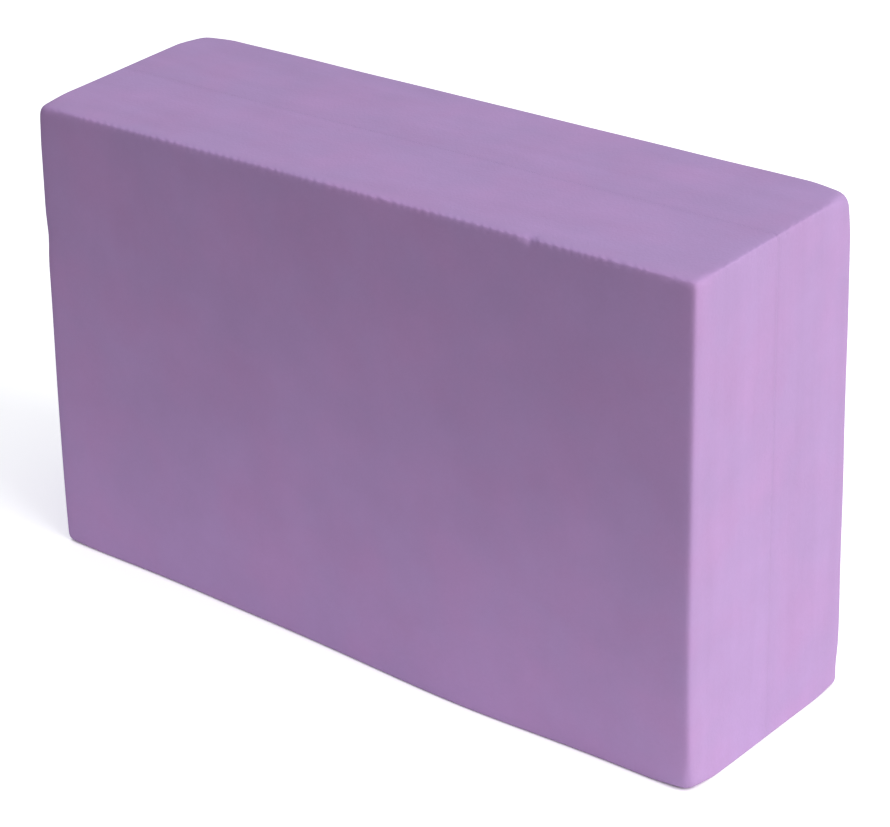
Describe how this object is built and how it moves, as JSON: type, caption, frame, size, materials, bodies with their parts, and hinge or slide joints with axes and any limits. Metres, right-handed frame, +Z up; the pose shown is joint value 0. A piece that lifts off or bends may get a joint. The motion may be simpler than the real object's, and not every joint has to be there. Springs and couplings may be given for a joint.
{
  "type": "yoga block",
  "caption": "Rectangular foam yoga block of thick slabs bonded face to face, with eased edges and softened corners, that supports a hand, foot or seat in yoga poses.",
  "frame": {"origin": "centre of the long narrow face that the block stands on, at floor level", "axes": "+X along the length, +Y through the thickness from the front slab to the rear slab, +Z up"},
  "size_m": [0.23, 0.075, 0.15],
  "materials": {
    "foam": "matte",
    "adhesive": "matte"
  },
  "bodies": {
    "root": {"front_slab": "foam", "rear_slab": "foam", "bond_film": "adhesive"}
  },
  "joints": []
}
